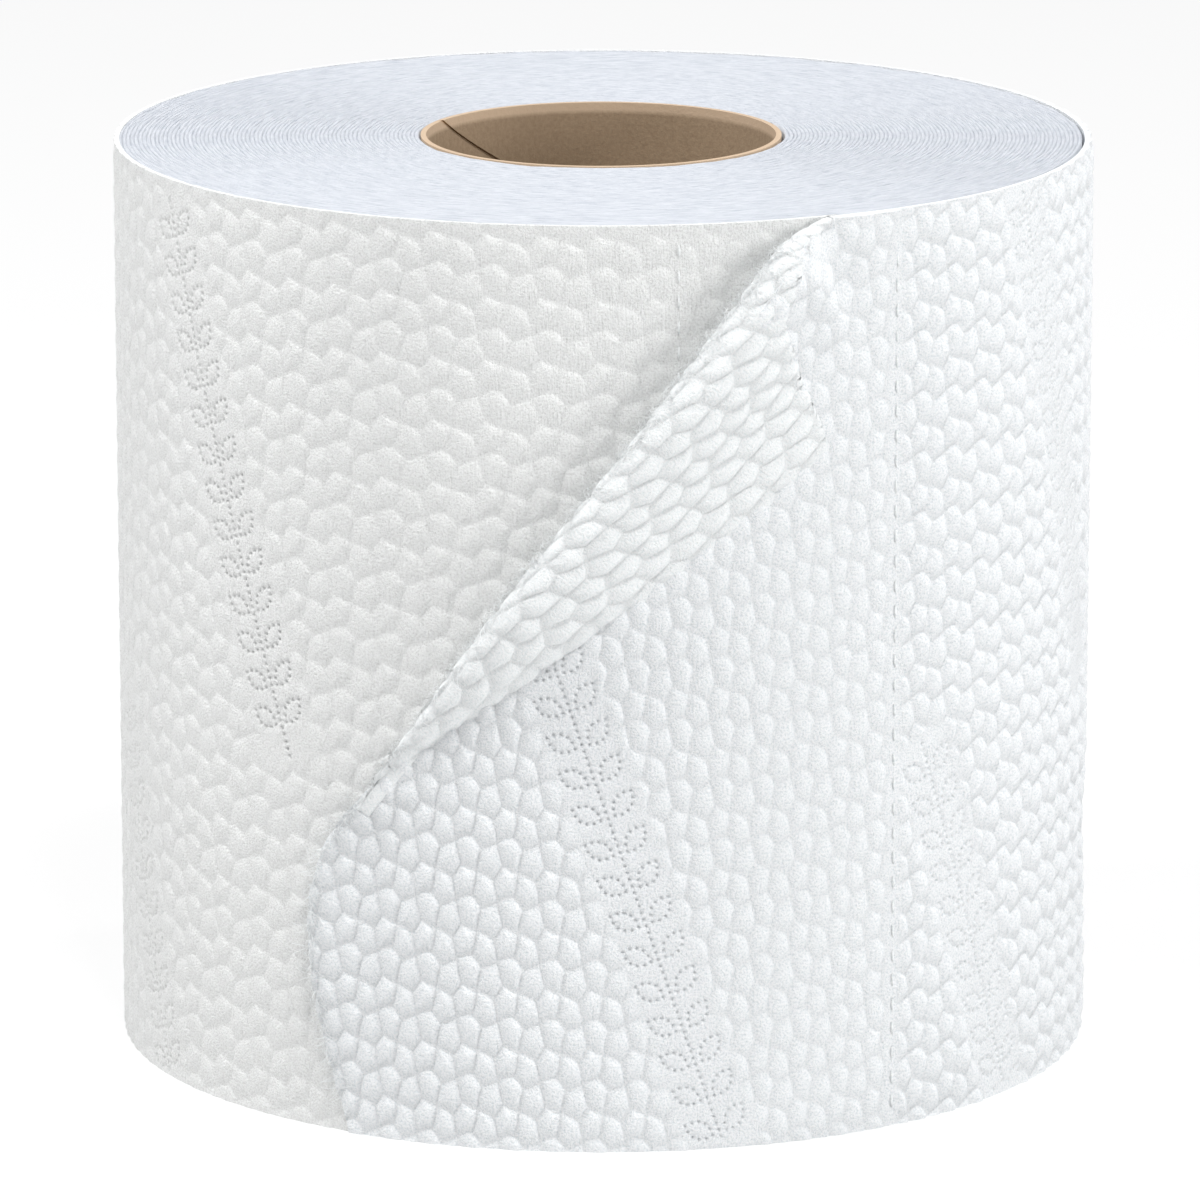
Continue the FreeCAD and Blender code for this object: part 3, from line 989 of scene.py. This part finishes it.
# %% The corner, from flat to folded
def folded(flat):
    """Points of the folded sheet from its flat drawing, with the puff or the thickness along its normal."""
    q, s = flat[:, 0], flat[:, 1]
    a, h = across_fold(s, q)
    a_on, h_on = across_fold(s, q + NUDGE)
    a_back, h_back = across_fold(s, q - NUDGE)
    length = np.hypot(a_on - a_back, h_on - h_back)
    normal_a, normal_h = -(h_on - h_back) / length, (a_on - a_back) / length
    edge_run = EDGE_RUN + (HEAD_EDGE_RUN - EDGE_RUN) * smooth(s, *HEAD_RISE)
    pressed = 1 - smooth(flap_edge(s) - q, 0.0, edge_run)
    stretched = 1 - smooth(q - UNDER_RUN, 0.0, STRETCH_RUN)
    puff_left = 1 - 0.5 * pressed - 0.5 * stretched
    front = FLAP_RELIEF * flat[:, 2] * puff_left - FLAP_VALLEY - EDGE_PRESS * pressed
    puff_height = np.where(on_back(flat), -LAP - BACK_PRESS * pressed, front)
    a = a + puff_height * normal_a
    h = h + puff_height * normal_h
    x, y, heading = fold_line(s)
    x, y = x + a * np.sin(heading), y - a * np.cos(heading)
    return on_roll(x, np.minimum(y, HEIGHT), h + lifted(x, y))


# %% Cut the corner out and fold it
values = {
    "Pitch round": FLAP_NET[0], "Pitch up": FLAP_NET[1], "Columns": 16, "Rows": 13,
    "Slant": FLAP_SLANT - fold_angle, "Corner": (-32.0, -0.5, 0.0), "Material": tissue_under_side_painted_light,
}
flap_mesh = grow(net_tree, tile_mesh, values)
open_edges = cut_out(flap_mesh, 0.0, flap_edge, FLAP_START, FLAP_TOP, 0.6, 3.0)
flat = flat_points(flap_mesh)
keep_painted_valley_shade(flap_mesh, flat)
finish_piece("turned_corner", flap_mesh, flat, folded(flat))
print("open edges:", open_edges)


# %% [markdown]
# ## Loose fibres
# Where tissue is cut or bent, ends of its wood fibres come free and make a fine fuzz. A real fibre is about
# 0.03 mm thick. It is drawn twice as thick here, as a thinner one would not show. Geometry Nodes scatter
# bent hairs along a path that is drawn in the same flat coordinates as the sheet they stand on.

# %% Tree: hairs along a path
fibre_tree, given = new_tree("loose_fibres", {
    "Gap": "Float", "Spread": "Vector", "Seed": "Int", "Material": "Material",
})
path = add(fibre_tree, "GeometryNodeMeshToCurve", {"Mesh": given["Geometry"]})
roots = add(fibre_tree, "GeometryNodeResampleCurve", {"Curve": path, "Length": given["Gap"]}, mode="LENGTH")
least = add(fibre_tree, "ShaderNodeVectorMath", {0: given["Spread"], "Scale": -1.0}, operation="SCALE")
aside = add(fibre_tree, "FunctionNodeRandomValue", {
    "Min": least, "Max": given["Spread"], "Seed": given["Seed"],
}, data_type="FLOAT_VECTOR")
spread = add(fibre_tree, "GeometryNodeSetPosition", {"Geometry": roots, "Offset": aside})
bent = add(fibre_tree, "GeometryNodeCurveQuadraticBezier", {
    "Resolution": 4, "Start": (0, 0, 0.4), "Middle": (0.4, 0.1, 2.8), "End": (1.2, -0.1, 2.6),
})
section = add(fibre_tree, "GeometryNodeCurvePrimitiveCircle", {"Resolution": 3, "Radius": 0.03})
hair = add(fibre_tree, "GeometryNodeCurveToMesh", {
    "Curve": bent, "Profile Curve": section, "Fill Caps": True,
})
turned = add(fibre_tree, "FunctionNodeRandomValue", {
    "Min": (-0.4, -0.4, 0.0), "Max": (0.4, 0.4, 2 * math.pi), "Seed": given["Seed"],
}, data_type="FLOAT_VECTOR")
sized = add(fibre_tree, "FunctionNodeRandomValue", {2: 0.5, 3: 1.2, "Seed": given["Seed"]}, data_type="FLOAT")
hairs = add(fibre_tree, "GeometryNodeInstanceOnPoints", {
    "Points": spread, "Instance": hair, "Rotation": turned, "Scale": sized,
})
finish_tree(fibre_tree, hairs, given["Material"])
print("nodes in the tree of the fibres:", len(fibre_tree.nodes))


# %% Fibres on the fold and on the free edge
def fibres_along(line, gap, spread, seed):
    """Flat hairs scattered along a line of points (x, y)."""
    path = bpy.data.meshes.new("fibre_path")
    path.from_pydata([(x, y, 0) for x, y in line], [(n, n + 1) for n in range(len(line) - 1)], [])
    mesh = grow(fibre_tree, path, {"Gap": gap, "Spread": spread, "Seed": seed, "Material": tissue_under_side_painted_light})
    bm = bmesh.new()
    bm.from_mesh(mesh)
    bmesh.ops.triangulate(bm, faces=bm.faces[:])
    bm.to_mesh(mesh)
    bm.free()
    return mesh


ups = np.linspace(1.0, 74.0, 60)
outermost = UNDER_RUN + 0.5 * math.pi * (bend_radius(ups) + LAP / 2)
fold_fibres = fibres_along(np.stack([outermost, ups], axis=-1), 0.07, (1.4, 0.5, 0.0), 3)
flat = flat_points(fold_fibres)
finish_piece("fibres_on_fold", fold_fibres, flat, folded(flat))

clear_edge = free_edge[free_edge[:, 1] > 2.5] + np.array((0.3, 0.0))      # no hair reaches the table
edge_fibres = fibres_along(clear_edge, 0.12, (0.3, 0.5, 0.0), 5)
flat = flat_points(edge_fibres)
height = embossed(flat, embossed_share(flat, strip_last)) + lifted(flat[:, 0], flat[:, 1])
finish_piece("fibres_on_free_edge", edge_fibres, flat, on_roll(flat[:, 0], flat[:, 1], height))


# %% [markdown]
# ## The wound turns
# Behind the last lap are some seventy more. They are one strip, so one strip is wound here too: Geometry
# Nodes sweep the web's cross-section along a spiral. Its edges wander a little up and down along the web.
# Neighbouring turns are 337 mm apart on it, so each wanders in its own way, and the ends of the roll show
# short broken lines.

# %% Tree: a strip wound in a spiral
wound_tree, given = new_tree("wound_strip", {
    "Turns": "Float", "Outer radius": "Float", "Inner radius": "Float", "Start": "Float", "Step": "Float",
    "Wander": "Float", "Wander length": "Float", "Middle": "Float", "Material": "Material",
})
spiral = add(wound_tree, "GeometryNodeCurveSpiral", {
    "Resolution": 256, "Rotations": given["Turns"], "Start Radius": given["Outer radius"],
    "End Radius": given["Inner radius"], "Height": 0.0,
})
steps = add(wound_tree, "GeometryNodeResampleCurve", {
    "Curve": spiral, "Length": given["Step"],
}, mode="LENGTH")
upright = add(wound_tree, "GeometryNodeSetCurveNormal", {"Curve": steps}, mode="Z_UP")
way = add(wound_tree, "GeometryNodeSplineParameter")
kept_way = add(wound_tree, "GeometryNodeStoreNamedAttribute", {
    "Geometry": upright, "Name": "way", "Value": way.outputs["Length"],
}, data_type="FLOAT", domain="POINT")
section = add(wound_tree, "GeometryNodeMeshToCurve", {"Mesh": given["Geometry"]})
strip = add(wound_tree, "GeometryNodeCurveToMesh", {
    "Curve": kept_way, "Profile Curve": section, "Fill Caps": True,
})
along = add(wound_tree, "GeometryNodeInputNamedAttribute", {"Name": "way"}, data_type="FLOAT")
scaled = add(wound_tree, "ShaderNodeMath", {0: along, 1: given["Wander length"]}, operation="DIVIDE")
wander = add(wound_tree, "ShaderNodeTexNoise", {
    "W": scaled, "Scale": 1.0, "Detail": 3.0,
}, noise_dimensions="1D")
centred = add(wound_tree, "ShaderNodeMath", {0: wander, 1: 0.5}, operation="SUBTRACT")
place = add(wound_tree, "GeometryNodeInputPosition")
parts = add(wound_tree, "ShaderNodeSeparateXYZ", {0: place})
above = add(wound_tree, "ShaderNodeMath", {0: parts.outputs["Z"]}, operation="SIGN")
reach = add(wound_tree, "ShaderNodeMath", {0: centred, 1: given["Wander"]}, operation="MULTIPLY")
signed = add(wound_tree, "ShaderNodeMath", {0: reach, 1: above}, operation="MULTIPLY")
shift = add(wound_tree, "ShaderNodeCombineXYZ", {"Z": signed})
uneven = add(wound_tree, "GeometryNodeSetPosition", {"Geometry": strip, "Offset": shift})
stood = add(wound_tree, "ShaderNodeCombineXYZ", {"Z": given["Middle"]})
started = add(wound_tree, "ShaderNodeCombineXYZ", {"Z": given["Start"]})
raised = add(wound_tree, "GeometryNodeTransform", {
    "Geometry": uneven, "Translation": stood, "Rotation": started,
})
finish_tree(wound_tree, raised, given["Material"])
print("nodes in the tree of the turns:", len(wound_tree.nodes))

# %% Wind the strip
EDGE_RISE = 0.07                # the middle of the web's edge stands this far above its corners


def web_section():
    """The web's cross-section as a loop of points: a tall strip with a low ridge at each end."""
    half, top = LAP / 2, HEIGHT / 2 - 0.05
    loop = [(half, -top + EDGE_RISE), (half, top - EDGE_RISE), (0, top), (-half, top - EDGE_RISE),
            (-half, -top + EDGE_RISE), (0, -top)]
    mesh = bpy.data.meshes.new("web_section")
    mesh.from_pydata([(x, y, 0) for x, y in loop], [(n, (n + 1) % len(loop)) for n in range(len(loop))], [])
    return mesh


strip_start = SHEETS[-1][2]     # the strip goes on where the last of the sheets stops
turns_outer = ROLL_RADIUS - LAP * (strip_start - SEAM) / TURN - VALLEY - LAP / 2
turns_inner = CORE_RADIUS + LAP / 2
turns_mesh = grow(wound_tree, web_section(), {
    "Turns": (turns_outer - turns_inner) / LAP, "Inner radius": turns_inner, "Outer radius": turns_outer,
    "Start": strip_start / ROLL_RADIUS - math.pi / 2, "Step": 1.6, "Wander": 0.35, "Wander length": 5.0,
    "Middle": HEIGHT / 2, "Material": cut_ends,
})
flat = flat_points(turns_mesh)
finish_piece("wound_turns", turns_mesh, flat, flat * MM)
print("section runs from", flat.min(axis=0).round(2), "to", flat.max(axis=0).round(2))

# %% [markdown]
# ## The core
# The core is wound too: two strips of brown board, glued one over the other on a slant. Where the edges of
# the inner strip meet, a thin dark line runs round the bore like a thread. The outer ply is a plain tube
# here. The inner one is a strip swept along a helix, with a narrow gap between its turns, and is cut off
# level at both ends.

# %% Two plies of board
SEAM_RISE = 71.7                # the seam climbs this far in one turn of the core
SEAM_GAP = 0.4
SEAM_ANGLE = math.radians(24)   # where the seam meets the top edge, anticlockwise from the left from above
CORE_SIDES = 144


def tube(outer, inner, sides, low, high):
    """A closed tube as a bmesh."""
    made = bmesh.new()
    loops = []
    for radius, level in ((outer, low), (outer, high), (inner, high), (inner, low)):
        angles = [2 * math.pi * side / sides for side in range(sides)]
        loops.append([made.verts.new((radius * math.cos(a), radius * math.sin(a), level)) for a in angles])
    join(made, loops + loops[:1])
    return made


def inner_ply(outer, inner, gap):
    """A strip of board wound in a helix against the outer ply, cut level with the ends of the core."""
    made = bmesh.new()
    rise = SEAM_RISE / CORE_SIDES
    half = (SEAM_RISE - gap) / 2
    sections = []
    for step in range(-CORE_SIDES, 3 * CORE_SIDES):
        angle = math.pi - SEAM_ANGLE - 2 * math.pi * step / CORE_SIDES
        middle = HEIGHT - SEAM_RISE / 2 - step * rise
        low, high = middle - half, middle + half
        ring = [(outer, low), (outer, high), (inner, high), (inner, low)]
        sections.append([made.verts.new((r * math.cos(angle), r * math.sin(angle), z)) for r, z in ring])
    join(made, sections)
    made.faces.new(sections[0])
    made.faces.new(sections[-1][::-1])
    for level, up in ((0.0, -1), (HEIGHT, 1)):
        whole = made.verts[:] + made.edges[:] + made.faces[:]
        cut = bmesh.ops.bisect_plane(
            made, geom=whole, dist=0.001, plane_co=(0, 0, level), plane_no=(0, 0, up), clear_outer=True,
        )["geom_cut"]
        bmesh.ops.holes_fill(made, edges=[item for item in cut if isinstance(item, bmesh.types.BMEdge)])
    return made


ply = CORE_WALL / 2
for name, made in (
    ("core_outer_ply", tube(CORE_RADIUS, CORE_RADIUS - ply, CORE_SIDES, 0.0, HEIGHT)),
    ("core_inner_ply", inner_ply(CORE_RADIUS - ply, CORE_RADIUS - CORE_WALL, SEAM_GAP)),
):
    bmesh.ops.recalc_face_normals(made, faces=made.faces[:])
    mesh = as_mesh(made, name)
    mesh.materials.append(board)
    flat = flat_points(mesh)
    finish_piece(name, mesh, flat, flat * MM)
    mesh.shade_flat()

# %% [markdown]
# ## Floor, light and camera
# The floor is plain and white, and keeps the roll's shadow. A low lamp at the right draws the crescents on
# the cells and leaves shade at the left of the fold. One above lights the front and the top, two light the
# left, and one at the far right draws the cells on that side. The world adds even light. Together they keep
# a white sheet that faces them just under full white.

# %% Floor
def seen_rays(tree):
    """The kinds of ray in a tree, and which rays are the camera's or go on from it by a gloss."""
    rays = add(tree, "ShaderNodeLightPath").outputs
    either = {0: rays["Is Camera Ray"], 1: rays["Is Glossy Ray"]}
    return rays, add(tree, "ShaderNodeMath", either, operation="MAXIMUM")


def make_floor():
    """A wide floor. What is seen of it is mostly glow, which stays white under a soft shadow. What lights the
    roll from it is plain paint."""
    material, tree, shader = new_material("white_floor")
    glow = add(tree, "ShaderNodeEmission", {"Color": (1, 1, 1, 1), "Strength": 1.0})
    rays, seen = seen_rays(tree)
    through = add(tree, "ShaderNodeMath", {0: seen, 1: rays["Is Transmission Ray"]}, operation="MAXIMUM")
    paint = add(tree, "ShaderNodeMix", {
        "Factor": through, "A": linear("#E0E0E0"), "B": linear("#FFFFFF"),
    }, data_type="RGBA")
    diffuse = add(tree, "ShaderNodeBsdfDiffuse", {"Color": paint})
    share = add(tree, "ShaderNodeMath", {0: through, 1: 0.8}, operation="MULTIPLY")
    mixed = add(tree, "ShaderNodeMixShader", {0: share, 1: diffuse, 2: glow})
    fill(tree, tree.nodes["Material Output"], {"Surface": mixed})
    tree.nodes.remove(shader)
    mesh = bpy.data.meshes.new("floor")
    reach = 3.0
    corners = [(-reach, -reach, 0), (reach, -reach, 0), (reach, reach, 0), (-reach, reach, 0)]
    mesh.from_pydata(corners, [], [(0, 1, 2, 3)])
    mesh.materials.append(material)
    floor = bpy.data.objects.new("floor", mesh)
    scene.collection.objects.link(floor)


make_floor()

# %% World and lamps
scene.view_settings.view_transform = "Standard"
world = bpy.data.worlds.new("studio")
scene.world = world
world.use_nodes = True
AMBIENT = 0.28                  # the even light, as a share of full white
_, seen = seen_rays(world.node_tree)
level = add(world.node_tree, "ShaderNodeMapRange", {"Value": seen, "To Min": AMBIENT, "To Max": 1.0})
fill(world.node_tree, world.node_tree.nodes["Background"], {"Color": linear("#FCFDFF"), "Strength": level})


LAMP_DISTANCE = 1.0             # in metres from the middle of the roll


def add_lamp(name, azimuth, elevation, size, level):
    """A square area lamp that faces the roll. Azimuth is to the right of the front, in degrees, and level is
    the share of full white that the lamp alone gives a surface that faces it."""
    turn, up = math.radians(azimuth), math.radians(elevation)
    lamp = bpy.data.lights.new(name, "AREA")
    lamp.size = size
    lamp.energy = level * math.pi ** 2 * LAMP_DISTANCE ** 2
    holder = bpy.data.objects.new(name, lamp)
    scene.collection.objects.link(holder)
    away = Vector((math.sin(turn) * math.cos(up), -math.cos(turn) * math.cos(up), math.sin(up)))
    holder.location = Vector((0, 0, HEIGHT * MM / 2)) + away * LAMP_DISTANCE
    holder.rotation_euler = away.to_track_quat("Z", "Y").to_euler()


for lamp_values in (
    ("far_left", -110, 25, 0.40, 0.17),
    ("left", -75, 50, 0.25, 0.53),
    ("above", 14, 58, 0.20, 0.52),
    ("key", 63, 10, 0.30, 0.38),
    ("side", 115, 35, 0.15, 0.20),
):
    add_lamp(*lamp_values)

# %% Camera
lens = bpy.data.cameras.new("camera")
lens.lens = 268.8
lens.sensor_width = 36.0
lens.shift_x = -0.0009
lens.clip_start, lens.clip_end = 0.05, 10.0
camera = bpy.data.objects.new("camera", lens)
scene.collection.objects.link(camera)
camera.location = (0.0, -0.9654, 0.2777)
camera.rotation_euler = (math.radians(76.59), 0.0, 0.0)
scene.camera = camera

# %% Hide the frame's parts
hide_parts("tissue_roll")
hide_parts("core")
